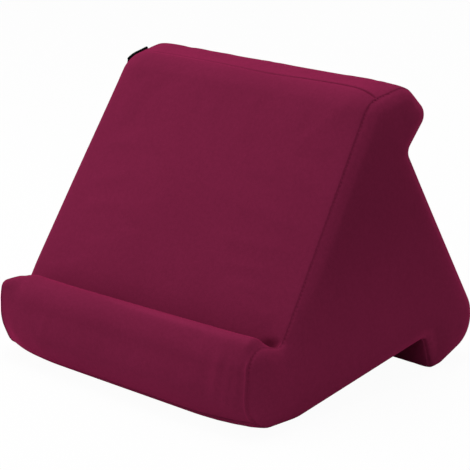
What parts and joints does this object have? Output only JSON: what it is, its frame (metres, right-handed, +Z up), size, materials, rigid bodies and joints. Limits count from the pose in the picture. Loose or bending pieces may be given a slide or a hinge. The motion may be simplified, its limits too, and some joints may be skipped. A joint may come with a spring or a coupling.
{
  "type": "tablet cushion stand",
  "caption": "Soft wedge-shaped tablet stand: a foam block in a sewn velvet cover, with a ledge at the foot of each of its three faces and a folded ribbon tab in one side seam.",
  "frame": {"origin": "middle of the object's footprint, on the surface it stands on", "axes": "+X along the width, to the right as seen from the front; +Y from the front ledge to the rear; +Z up"},
  "size_m": [0.284, 0.2598, 0.2286],
  "materials": {
    "velvet": "matte short-pile velvet",
    "foam": "open-cell polyurethane foam",
    "label_ribbon": "matte woven ribbon"
  },
  "bodies": {
    "root": {"foam_core": "foam", "front_panel": "velvet", "base_panel": "velvet", "rear_panel": "velvet", "right_side_panel": "velvet", "left_side_panel": "velvet", "side_label": "label_ribbon"}
  },
  "joints": []
}
